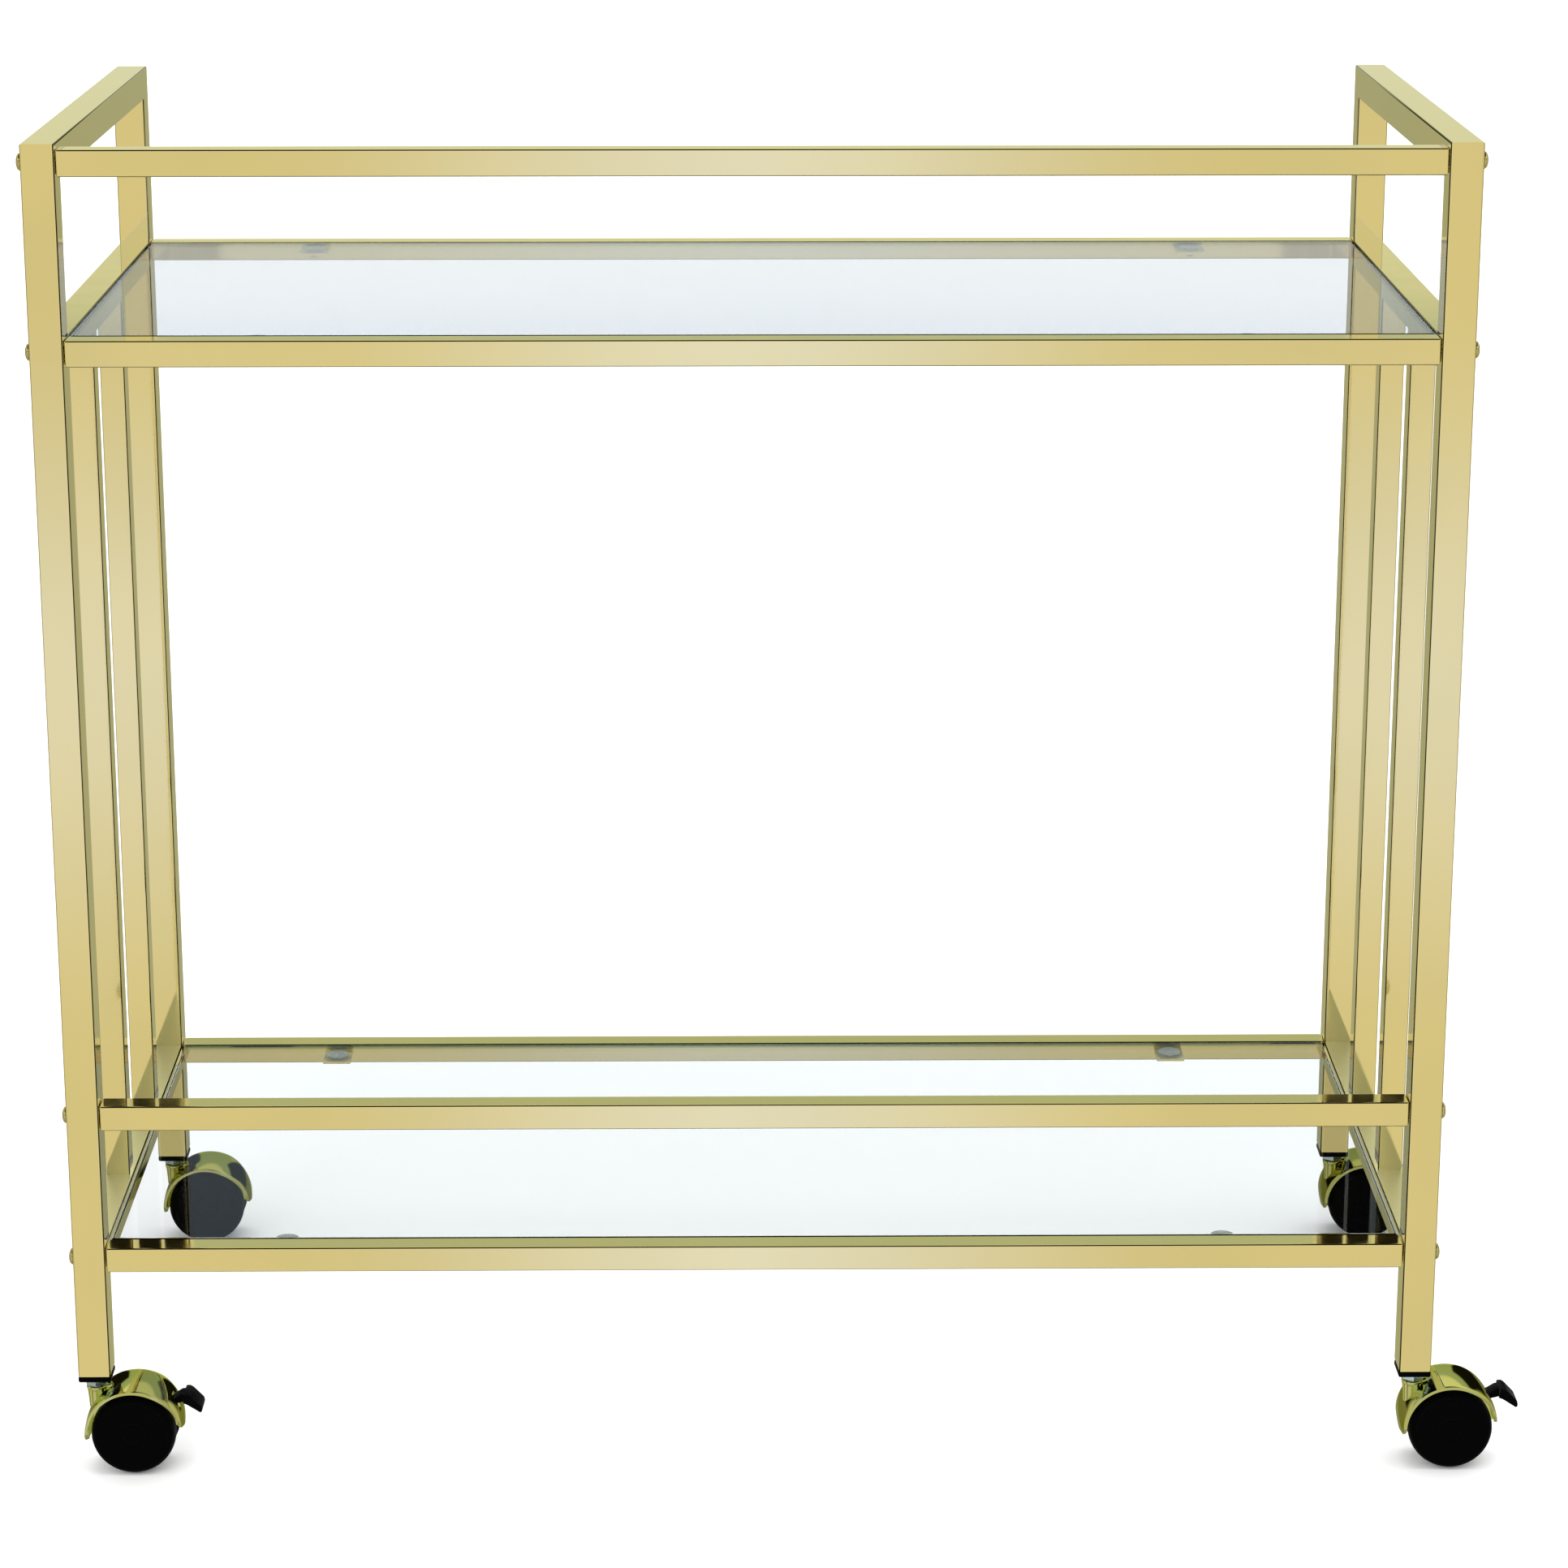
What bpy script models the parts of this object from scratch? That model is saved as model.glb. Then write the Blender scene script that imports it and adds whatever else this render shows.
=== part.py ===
"""Two-tier bar cart: welded brass-plated side frames, bolted rails, two glass shelves and four
twin-wheel casters, the front pair with brake levers. Metres, +X to the right, +Y to the back, +Z up."""

from math import cos, pi, radians, sin, sqrt

import bmesh
import bpy
from mathutils import Matrix, Vector

# Overall sizes. The origin is on the floor, under the middle of the whole cart's box.
WIDTH = 0.800
DEPTH = 0.368
HEIGHT = 0.788
LEG_BOTTOM = 0.060
GAP = 0.0003

# Side frames: square tube, welded, with two slimmer pickets
TUBE = 0.019
TUBE_WALL = 0.0012
PICKET = 0.015
PICKET_WALL = 0.001
TUBE_ROUND = 0.0011
VENT_R = 0.003

# Rails between the side frames
RAIL = 0.015
RAIL_WALL = 0.001
RAIL_ROUND = 0.0009
PLUG_LENGTH = 0.008
SHELF_TOPS = {"upper": 0.679, "lower": 0.1405}
GUARD_TOPS = {"upper": 0.7845, "lower": 0.229}

# Bolts: a leg and a rail's end plug are drilled for them
BOLT_R = 0.003
BOLT_HOLE_R = 0.0033
BOLT_LENGTH = 0.030
HEAD_R = 0.005
HEAD_HEIGHT = 0.0022

# Glass, its pads and their tabs
GLASS = 0.005
GLASS_PLAY = 0.0015
PAD_R = 0.0075
PAD_HEIGHT = 0.0024
STUD_R = 0.0019
STUD_LENGTH = 0.0042
STUD_HOLE_R = 0.0023
TAB_WIDTH = 0.018
TAB_DEPTH = 0.017
TAB_THICK = 0.0016
TAB_X = 0.277
GLASS_EDGE = 0.0006

# Casters: the wheels' centre trails behind the stem
TRAIL = 0.022
WHEEL_R = 0.025
WHEEL_INNER_Y = 0.0034
WHEEL_OUTER_Y = 0.0165
WHEEL_STEPS = 20
AXLE_R = 0.003
AXLE_HALF = 0.0138
BORE_PLAY = 0.0003
HOOD_R = 0.0283
HOOD_THICK = 0.0018
HOOD_CROWN = 0.0008
HOOD_HALF = 0.017
HOOD_TAIL_HALF = 0.0115
HOOD_MIDDLE = radians(96)
HOOD_SPAN = radians(94.5)
HOOD_STEPS = 17
WEB_HALF = 0.003
HUB_R = 0.0075
BOSS_TOP = 0.0515
BOSS_TOP_R = 0.0063
BOSS_FOOT_R = 0.0050
BOSS_FOOT = 0.0385
RIB_HALF = 0.0024
STEM_PIN_R = 0.0032
STEM_PIN_LENGTH = 0.0080
STEM_R = 0.004
COLLAR_FLATS = 0.0118
COLLAR_HEIGHT = 0.0042
CAP_FLANGE = 0.0024
CAP_PLUG = 0.028
CAP_ROUND = 0.0009

# Brake lever, in the caster's own plane: X and Z from the wheels' centre
PIVOT = (0.015, 0.014)
LEVER_HALF = 0.0017
SLIT_HALF = 0.002
ARM_HALF = 0.0044
PADDLE_HALF = 0.0062
PIN_R = 0.0015
PADDLE_TIP_X = 0.0405
SLOT_ANGLE = radians(31)
SLOT_LENGTH = 0.0104
SLOT_PLAY = 0.0006
SLIT_ANGLE = radians(13)
SLIT_REACH = 0.0155
SLIT_HEIGHT = 0.0082
WELL_R = 0.0042

# The casters trail and the levers reach to the right, so the frame stands left of the origin
LEG_X = (WIDTH - TUBE) / 2
LEG_Y = (DEPTH - TUBE) / 2
FRAME_X = (WIDTH / 2 + HEAD_HEIGHT + GAP - (LEG_X + TRAIL + PADDLE_TIP_X)) / 2

SIDES = {"left": -1, "right": 1}
ENDS = {"front": -1, "back": 1}

bpy.context.scene.unit_settings.system = "METRIC"
for old in list(bpy.data.objects):
    bpy.data.objects.remove(old)

PARTS = bpy.data.collections.new("bar_cart")
CUTTERS = bpy.data.collections.new("cutters")
bpy.context.scene.collection.children.link(PARTS)
bpy.context.scene.collection.children.link(CUTTERS)


def make_material(name, colour, roughness, metallic=0.0, transmission=0.0):
    material = bpy.data.materials.new(name)
    material.use_nodes = True
    shader = material.node_tree.nodes["Principled BSDF"]
    shader.inputs["Base Color"].default_value = (*colour, 1.0)
    shader.inputs["Roughness"].default_value = roughness
    shader.inputs["Metallic"].default_value = metallic
    shader.inputs["Transmission Weight"].default_value = transmission
    return material


BRASS = make_material("polished_brass_plate", (0.68, 0.56, 0.22), 0.12, 1.0)
CASTER_BRASS = make_material("caster_brass_plate", (0.55, 0.45, 0.06), 0.10, 1.0)
ZINC = make_material("zinc_plated_steel", (0.55, 0.60, 0.58), 0.30, 1.0)
STEEL = make_material("axle_steel", (0.45, 0.45, 0.46), 0.25, 1.0)
BLACK = make_material("black_plastic", (0.012, 0.012, 0.013), 0.35)
GLASS_CLEAR = make_material("clear_glass", (0.93, 0.97, 0.95), 0.02, 0.0, 1.0)
PAD_CLEAR = make_material("clear_soft_pad", (0.85, 0.88, 0.86), 0.20, 0.0, 0.8)


# ---- Shapes -------------------------------------------------------------------------------

def add_object(name, mesh, material=None, location=(0, 0, 0), parent=None):
    """A part if it has a material, and otherwise a helper that only cuts or joins."""
    obj = bpy.data.objects.new(name, mesh)
    obj.location = location
    obj.parent = parent
    if material:
        if not mesh.materials:
            mesh.materials.append(material)
        PARTS.objects.link(obj)
    else:
        CUTTERS.objects.link(obj)
        obj.hide_render = True
        obj.display_type = "WIRE"
    return obj


def mesh_of(name, bm):
    mesh = bpy.data.meshes.new(name)
    bm.to_mesh(mesh)
    bm.free()
    return mesh


def box(name, size, location=(0, 0, 0), material=None):
    bm = bmesh.new()
    bmesh.ops.create_cube(bm, size=1, matrix=Matrix.Diagonal((*size, 1)))
    return add_object(name, mesh_of(name, bm), material, location)


def cylinder(name, radius, length, location=(0, 0, 0), axis="Z", steps=12,
             material=None, top_radius=None):
    turn = {"X": Matrix.Rotation(pi / 2, 4, "Y"), "Y": Matrix.Rotation(-pi / 2, 4, "X"),
            "Z": Matrix.Identity(4)}[axis]
    bm = bmesh.new()
    bmesh.ops.create_cone(bm, cap_ends=True, segments=steps, radius1=radius,
                          radius2=radius if top_radius is None else top_radius,
                          depth=length, matrix=turn)
    return add_object(name, mesh_of(name, bm), material, location)


def turned(name, profile, steps, material):
    """Turns a profile of (radius, height) points about Z. It runs down the outer side."""
    bm = bmesh.new()
    points = [bm.verts.new((radius, 0, height)) for radius, height in profile]
    for first, second in zip(points, points[1:]):
        bm.edges.new((first, second))
    obj = add_object(name, mesh_of(name, bm), material)
    screw = obj.modifiers.new("turn", "SCREW")
    screw.steps = steps
    screw.render_steps = steps
    screw.use_merge_vertices = True
    screw.merge_threshold = 0.00001
    screw.use_smooth_shade = True
    return obj


def outline(name, loops, half, material=None, rounding=0.0):
    """A flat outline of loops of (x, z) points, holes included, extruded by half each way along Y."""
    curve = bpy.data.curves.new(name, "CURVE")
    curve.dimensions = "2D"
    curve.fill_mode = "BOTH"
    curve.extrude = half - rounding
    curve.bevel_depth = rounding
    curve.bevel_resolution = 1
    curve.offset = -rounding
    for loop in loops:
        spline = curve.splines.new("POLY")
        spline.points.add(len(loop) - 1)
        for point, (x, z) in zip(spline.points, loop):
            point.co = (x, z, 0, 1)
        spline.use_cyclic_u = True
    drawn = bpy.data.objects.new(name, curve)
    CUTTERS.objects.link(drawn)
    bpy.context.view_layer.update()
    mesh = bpy.data.meshes.new_from_object(drawn.evaluated_get(bpy.context.evaluated_depsgraph_get()))
    bpy.data.objects.remove(drawn)
    bm = bmesh.new()
    bm.from_mesh(mesh)
    bmesh.ops.remove_doubles(bm, verts=bm.verts, dist=0.00001)
    bmesh.ops.transform(bm, matrix=Matrix.Rotation(pi / 2, 4, "X"), verts=bm.verts)
    bmesh.ops.recalc_face_normals(bm, faces=bm.faces)
    bm.to_mesh(mesh)
    bm.free()
    mesh.materials.clear()
    return add_object(name, mesh, material)


def combine(target, operation, others):
    for other in others:
        modifier = target.modifiers.new(other.name, "BOOLEAN")
        modifier.operation = operation
        modifier.object = other
        modifier.solver = "EXACT"


def round_edges(target, width, segments=2):
    modifier = target.modifiers.new("rounding", "BEVEL")
    modifier.width = width
    modifier.segments = segments
    modifier.limit_method = "ANGLE"
    modifier.angle_limit = radians(40)


def finished(obj, name, smooth_angle=35):
    """The shape as its modifiers leave it, in a mesh that copies can share."""
    bpy.context.view_layer.update()
    mesh = bpy.data.meshes.new_from_object(obj.evaluated_get(bpy.context.evaluated_depsgraph_get()))
    mesh.name = name
    mesh.shade_smooth()
    mesh.set_sharp_from_angle(angle=radians(smooth_angle))
    for used in [obj, *CUTTERS.objects]:
        bpy.data.objects.remove(used)
    return mesh


# ---- Side frames --------------------------------------------------------------------------

def rail_height(top, thick=RAIL):
    return top - thick / 2


def bolt_rows(end):
    """Heights of the bolts in the front or the back legs."""
    rows = [rail_height(top) for top in SHELF_TOPS.values()]
    if end == "front":
        rows += [rail_height(top) for top in GUARD_TOPS.values()]
    return rows


def picket_places():
    """The pickets part the space between the legs into three equal gaps."""
    clear = (DEPTH - 2 * TUBE - 2 * PICKET) / 3
    return [side * (clear + PICKET) / 2 for side in (-1, 1)]


def rectangle(across, low, high):
    """A loop across the middle, from -across to across and from low to high."""
    return [(-across, low), (across, low), (across, high), (-across, high)]


def side_frame_mesh():
    """Drawn in its own plane, with its windows, then given pickets, and hollowed tube by tube."""
    edge, inside = DEPTH / 2, DEPTH / 2 - TUBE
    lower, upper = SHELF_TOPS["lower"], SHELF_TOPS["upper"]
    feet = [(edge, HEIGHT), (edge, LEG_BOTTOM), (inside, LEG_BOTTOM), (inside, lower - TUBE),
            (-inside, lower - TUBE), (-inside, LEG_BOTTOM), (-edge, LEG_BOTTOM), (-edge, HEIGHT)]
    windows = [rectangle(inside, lower, upper - TUBE), rectangle(inside, upper, HEIGHT - TUBE)]
    frame = outline("side_frame", [feet, *windows], TUBE / 2, BRASS, TUBE_ROUND)
    wall_edge, wall_inside = edge - TUBE_WALL, inside + TUBE_WALL
    below = LEG_BOTTOM - TUBE
    hoop = [(wall_edge, HEIGHT - TUBE_WALL), (wall_edge, below), (wall_inside, below),
            (wall_inside, HEIGHT - TUBE + TUBE_WALL), (-wall_inside, HEIGHT - TUBE + TUBE_WALL),
            (-wall_inside, below), (-wall_edge, below), (-wall_edge, HEIGHT - TUBE_WALL)]
    inner = TUBE - 2 * TUBE_WALL
    hollows = [outline("hoop_hollow", [hoop], inner / 2)]
    for top in SHELF_TOPS.values():
        middle = rail_height(top, TUBE)
        hollows.append(box("rail_hollow", (2 * inside, inner, inner), (0, 0, middle)))
        hollows.append(cylinder("leg_vents", VENT_R, DEPTH - TUBE, (0, 0, middle), "X", steps=8))
    pickets = []
    picket_inner = PICKET - 2 * PICKET_WALL
    picket_middle = (lower + upper - TUBE) / 2
    picket_length = upper - TUBE - lower
    for place in picket_places():
        picket = box("picket", (PICKET, PICKET, picket_length + TUBE), (place, 0, picket_middle))
        round_edges(picket, RAIL_ROUND)
        pickets.append(picket)
        hollows.append(box("picket_hollow", (picket_inner, picket_inner, picket_length),
                           (place, 0, picket_middle)))
        hollows.append(cylinder("picket_vents", VENT_R, picket_length + TUBE,
                                (place, 0, picket_middle), steps=8))
    for end, side in ENDS.items():
        hollows += [cylinder("bolt_hole", BOLT_HOLE_R, 2 * TUBE, (side * LEG_Y, 0, height), "Y")
                    for height in bolt_rows(end)]
    combine(frame, "UNION", pickets)
    combine(frame, "DIFFERENCE", hollows)
    mesh = finished(frame, "side_frame")
    mesh.transform(Matrix.Rotation(pi / 2, 4, "Z"))
    return mesh


def add_side_frames():
    mesh = side_frame_mesh()
    for name, side in SIDES.items():
        add_object(f"side_frame_{name}", mesh, BRASS, (FRAME_X + side * LEG_X, 0, 0))


# ---- Rails, bolts and shelves -------------------------------------------------------------

RAIL_LENGTH = WIDTH - 2 * TUBE - 2 * GAP
RAIL_Y = LEG_Y
RAIL_FACE_Y = RAIL_Y - RAIL / 2
PAD_Y = RAIL_FACE_Y - TAB_DEPTH / 2
PAD_BOTTOM = GLASS + GAP + PAD_HEIGHT


def rail_mesh(name, with_tabs):
    """A front rail lying along X, its middle at the origin, with any tabs on its back face."""
    rail = box(name, (RAIL_LENGTH, RAIL, RAIL), material=BRASS)
    round_edges(rail, RAIL_ROUND)
    inner = RAIL - 2 * RAIL_WALL
    hollows = [box("rail_hollow", (RAIL_LENGTH - 2 * PLUG_LENGTH, inner, inner)),
               cylinder("bolt_hole", BOLT_HOLE_R, 2 * RAIL_LENGTH, axis="X")]
    if with_tabs:
        tab_y = RAIL / 2 + TAB_DEPTH / 2
        tab_z = RAIL / 2 - PAD_BOTTOM - GAP - TAB_THICK / 2
        tabs = [box("tab", (TAB_WIDTH, TAB_DEPTH + RAIL_WALL, TAB_THICK),
                    (side * TAB_X, tab_y - RAIL_WALL / 2, tab_z)) for side in (-1, 1)]
        combine(rail, "UNION", tabs)
        hollows += [cylinder("stud_hole", STUD_HOLE_R, 4 * TAB_THICK,
                             (side * TAB_X, tab_y, tab_z)) for side in (-1, 1)]
    combine(rail, "DIFFERENCE", hollows)
    return finished(rail, name)


def add_rails():
    guard = rail_mesh("guard_rail", False)
    shelf = rail_mesh("shelf_rail", True)
    for level, top in GUARD_TOPS.items():
        add_object(f"guard_rail_{level}", guard, BRASS, (FRAME_X, -RAIL_Y, rail_height(top)))
    for level, top in SHELF_TOPS.items():
        for end, side in ENDS.items():
            rail = add_object(f"shelf_rail_{level}_{end}", shelf, BRASS,
                              (FRAME_X, side * RAIL_Y, rail_height(top)))
            rail.rotation_euler.z = pi if end == "back" else 0


def add_bolts():
    """Each bolt's head is outside its leg, and its shank goes through both walls into the rail."""
    dome = [(HEAD_R * sin(turn), HEAD_HEIGHT * cos(turn)) for turn in (0, radians(35), radians(65))]
    profile = dome + [(HEAD_R, 0), (BOLT_R, 0), (BOLT_R, -BOLT_LENGTH), (0, -BOLT_LENGTH)]
    mesh = finished(turned("rail_bolt", profile, 10, BRASS), "rail_bolt", 50)
    rows = {f"{level}_shelf_{end}": (side, rail_height(top))
            for level, top in SHELF_TOPS.items() for end, side in ENDS.items()}
    rows.update({f"{level}_guard": (-1, rail_height(top)) for level, top in GUARD_TOPS.items()})
    for row, (end_side, height) in rows.items():
        for name, side in SIDES.items():
            bolt = add_object(f"bolt_{row}_{name}", mesh, BRASS,
                              (FRAME_X + side * (WIDTH / 2 + GAP), end_side * LEG_Y, height))
            bolt.rotation_euler.y = side * pi / 2


def add_shelves():
    size = (WIDTH - 2 * TUBE - 2 * GLASS_PLAY, 2 * (RAIL_FACE_Y - GLASS_PLAY), GLASS)
    pad_profile = [(0, 0), (PAD_R * 0.93, 0), (PAD_R, -PAD_HEIGHT / 4), (PAD_R * 0.6, -PAD_HEIGHT),
                   (STUD_R, -PAD_HEIGHT), (STUD_R, -PAD_HEIGHT - STUD_LENGTH),
                   (0, -PAD_HEIGHT - STUD_LENGTH)]
    pad = finished(turned("glass_pad", pad_profile, 10, PAD_CLEAR), "glass_pad")
    for level, top in SHELF_TOPS.items():
        panel = box(f"glass_shelf_{level}", size, (FRAME_X, 0, top - GLASS / 2), GLASS_CLEAR)
        round_edges(panel, GLASS_EDGE, 1)
        for end, end_side in ENDS.items():
            for name, side in SIDES.items():
                add_object(f"glass_pad_{level}_{end}_{name}", pad, PAD_CLEAR,
                           (FRAME_X + side * TAB_X, end_side * PAD_Y, top - GLASS - GAP))


# ---- Casters ------------------------------------------------------------------------------
# Caster shapes are made about the wheels' centre, so X and Z run from there.

def hood_half_width(place):
    """Half of the hood's width at place, from -1 at its tail to 1 at its stem end."""
    tail = min(1.0, max(0.0, (-place - 0.30) / 0.65))
    half = HOOD_HALF - (HOOD_HALF - HOOD_TAIL_HALF) * tail * tail * (3 - 2 * tail)
    past = min(1.0, max(0.0, (abs(place) - 0.84) / 0.16))
    return half * (0.42 + 0.58 * sqrt(1 - past * past))


def hood_shell():
    bm = bmesh.new()
    bmesh.ops.create_grid(bm, x_segments=HOOD_STEPS, y_segments=4, size=1)
    for vert in bm.verts:
        place, across = vert.co.x, vert.co.y
        angle = HOOD_MIDDLE + HOOD_SPAN * place
        radius = HOOD_R + HOOD_CROWN * (1 - across * across)
        vert.co = (radius * cos(angle), across * hood_half_width(place), radius * sin(angle))
    bmesh.ops.recalc_face_normals(bm, faces=bm.faces)
    first = bm.faces[:][0]
    if first.normal.dot(Vector((first.calc_center_median().x, 0, first.calc_center_median().z))) < 0:
        bmesh.ops.reverse_faces(bm, faces=bm.faces)
    hood = add_object("hood", mesh_of("hood", bm), CASTER_BRASS)
    shell = hood.modifiers.new("thickness", "SOLIDIFY")
    shell.thickness = HOOD_THICK
    shell.offset = -1
    return hood


def web_plate():
    """The plate between the wheels: the disc above the line through the hood's tips, and a hub."""
    radius = HOOD_R + HOOD_CROWN - HOOD_THICK / 2
    web = cylinder("web", radius, 2 * WEB_HALF, axis="Y", steps=24)
    below = box("below_web", (4 * HOOD_R, 4 * HOOD_R, 2 * HOOD_R))
    tilt = HOOD_MIDDLE - pi / 2
    below.rotation_euler.y = -tilt
    drop = HOOD_R + 0.0015
    below.location = (drop * sin(tilt), 0, -drop * cos(tilt))
    combine(web, "DIFFERENCE", [below])
    hub_half = WHEEL_INNER_Y - GAP
    combine(web, "UNION", [cylinder("hub", HUB_R, 2 * hub_half, axis="Y", steps=16)])
    return web


def boss_and_rib():
    """The boss under the stem, and the rib that ties it to the top of the hood."""
    middle = (BOSS_TOP + BOSS_FOOT) / 2 - WHEEL_R
    boss = cylinder("boss", BOSS_FOOT_R, BOSS_TOP - BOSS_FOOT, (-TRAIL, 0, middle), steps=16,
                    top_radius=BOSS_TOP_R)
    room = cylinder("wheel_room", HOOD_R - 0.8 * HOOD_THICK, 2 * HOOD_R, axis="Y", steps=24)
    combine(boss, "DIFFERENCE", [room])
    rib = outline("rib", [[(-TRAIL, 0.0165), (-0.012, 0.0250), (-0.0135, 0.0268),
                          (-0.0165, 0.0262), (-TRAIL, 0.0255)]], RIB_HALF)
    return [boss, rib]


def brake_cutters():
    """The slot through the hood, the slit in the web for the lever, and the lever's pin hole."""
    slot = box("brake_slot", (5 * HOOD_THICK, 2 * (ARM_HALF + SLOT_PLAY), SLOT_LENGTH),
               (HOOD_R * cos(SLOT_ANGLE), 0, HOOD_R * sin(SLOT_ANGLE)))
    slot.rotation_euler.y = -SLOT_ANGLE
    slit = box("brake_slit", (SLIT_REACH, 2 * SLIT_HALF, SLIT_HEIGHT),
               (PIVOT[0] + SLIT_REACH / 2 * cos(SLIT_ANGLE), 0,
                PIVOT[1] + SLIT_REACH / 2 * sin(SLIT_ANGLE)))
    slit.rotation_euler.y = -SLIT_ANGLE
    well = cylinder("brake_well", WELL_R, 2 * SLIT_HALF, (PIVOT[0], 0, PIVOT[1]), "Y")
    pin_hole = cylinder("brake_pin_hole", PIN_R + BORE_PLAY, 4 * WEB_HALF,
                        (PIVOT[0], 0, PIVOT[1]), "Y")
    return [slot, slit, well, pin_hole]


def caster_body_mesh(name, braked):
    body = hood_shell()
    combine(body, "UNION", [web_plate(), *boss_and_rib()])
    bore_bottom = BOSS_TOP - WHEEL_R - STEM_PIN_LENGTH - GAP
    cutters = [cylinder("axle_bore", AXLE_R + BORE_PLAY, 4 * WEB_HALF, axis="Y", steps=16),
               cylinder("stem_bore", STEM_PIN_R + BORE_PLAY, 2 * STEM_PIN_LENGTH,
                        (-TRAIL, 0, bore_bottom + STEM_PIN_LENGTH), steps=16)]
    if braked:
        cutters += brake_cutters()
    combine(body, "DIFFERENCE", cutters)
    return finished(body, name)


def wheel_mesh():
    """Turned about Z with its outer face up. Its flats, not its corners, are WHEEL_R out."""
    rim = WHEEL_R / cos(pi / WHEEL_STEPS)
    inner, outer = WHEEL_INNER_Y, WHEEL_OUTER_Y
    bore = AXLE_R + BORE_PLAY
    bore_end = AXLE_HALF + GAP
    profile = [(0, outer), (rim - 0.0042, outer), (rim - 0.0012, outer - 0.0016),
               (rim, outer - 0.0050), (rim, inner + 0.0030), (rim - 0.0008, inner),
               (rim - 0.0045, inner), (rim - 0.0045, outer - 0.0035), (0.0065, outer - 0.0035),
               (0.0065, inner), (bore, inner), (bore, bore_end), (0, bore_end)]
    mesh = finished(turned("wheel", profile, WHEEL_STEPS, BLACK), "wheel")
    mesh.transform(Matrix.Rotation(pi / WHEEL_STEPS, 4, "Z"))
    return mesh


def lever_mesh():
    """A narrow arm on the pin, wider where it leaves the hood, and a paddle that tips down."""
    arm = [(0.0118, 0.0140), (0.0124, 0.0122), (0.0138, 0.0111), (0.0156, 0.0109),
           (0.0256, 0.0152), (0.0256, 0.0188), (0.0150, 0.0172), (0.0128, 0.0163)]
    wide_arm = [(0.0228, 0.0150), (0.0300, 0.0172), (0.0320, 0.0196), (0.0298, 0.0203),
                (0.0222, 0.0180)]
    paddle = [(0.0296, 0.0170), (0.0314, 0.0166), (0.0398, 0.0116), (PADDLE_TIP_X, 0.0124),
              (PADDLE_TIP_X, 0.0140), (0.0326, 0.0203), (0.0300, 0.0205)]
    lever = outline("lever", [arm], LEVER_HALF, BLACK)
    combine(lever, "UNION", [outline("wide_arm", [wide_arm], ARM_HALF),
                             outline("paddle", [paddle], PADDLE_HALF)])
    combine(lever, "DIFFERENCE", [cylinder("lever_hole", PIN_R + BORE_PLAY, 4 * LEVER_HALF,
                                           (PIVOT[0], 0, PIVOT[1]), "Y")])
    mesh = finished(lever, "lever")
    mesh.transform(Matrix.Translation((-PIVOT[0], 0, -PIVOT[1])))
    return mesh


def stem_mesh():
    """Made about the stem's axis with Z from the floor: pin below, collar, stem above."""
    collar_low = LEG_BOTTOM - GAP - CAP_FLANGE - GAP - COLLAR_HEIGHT
    pin_low = BOSS_TOP - STEM_PIN_LENGTH
    stem_top = LEG_BOTTOM + CAP_PLUG - 0.002
    stem = cylinder("stem", STEM_R, stem_top - collar_low, (0, 0, (stem_top + collar_low) / 2),
                    steps=16, material=ZINC)
    collar = cylinder("collar", COLLAR_FLATS / sqrt(3), COLLAR_HEIGHT,
                      (0, 0, collar_low + COLLAR_HEIGHT / 2), steps=6)
    pin_high = collar_low + COLLAR_HEIGHT / 2
    pin = cylinder("pin", STEM_PIN_R, pin_high - pin_low, (0, 0, (pin_high + pin_low) / 2), steps=16)
    combine(stem, "UNION", [collar, pin])
    middle = (stem_top + collar_low) / 2
    mesh = finished(stem, "stem")
    mesh.transform(Matrix.Translation((0, 0, middle)))
    return mesh


def end_cap_mesh():
    """A flange under the tube's end and a plug inside it, bored for the stem."""
    flange_middle = LEG_BOTTOM - GAP - CAP_FLANGE / 2
    cap = box("cap", (TUBE, TUBE, CAP_FLANGE), (0, 0, flange_middle), BLACK)
    round_edges(cap, CAP_ROUND, 1)
    inner = TUBE - 2 * TUBE_WALL - 2 * GAP
    plug = box("plug", (inner, inner, CAP_PLUG), (0, 0, LEG_BOTTOM + CAP_PLUG / 2 - 0.001))
    bore = cylinder("cap_bore", STEM_R + GAP, 3 * CAP_PLUG, (0, 0, LEG_BOTTOM), steps=16)
    combine(cap, "UNION", [plug])
    combine(cap, "DIFFERENCE", [bore])
    mesh = finished(cap, "end_cap")
    mesh.transform(Matrix.Translation((0, 0, flange_middle)))
    return mesh


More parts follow.
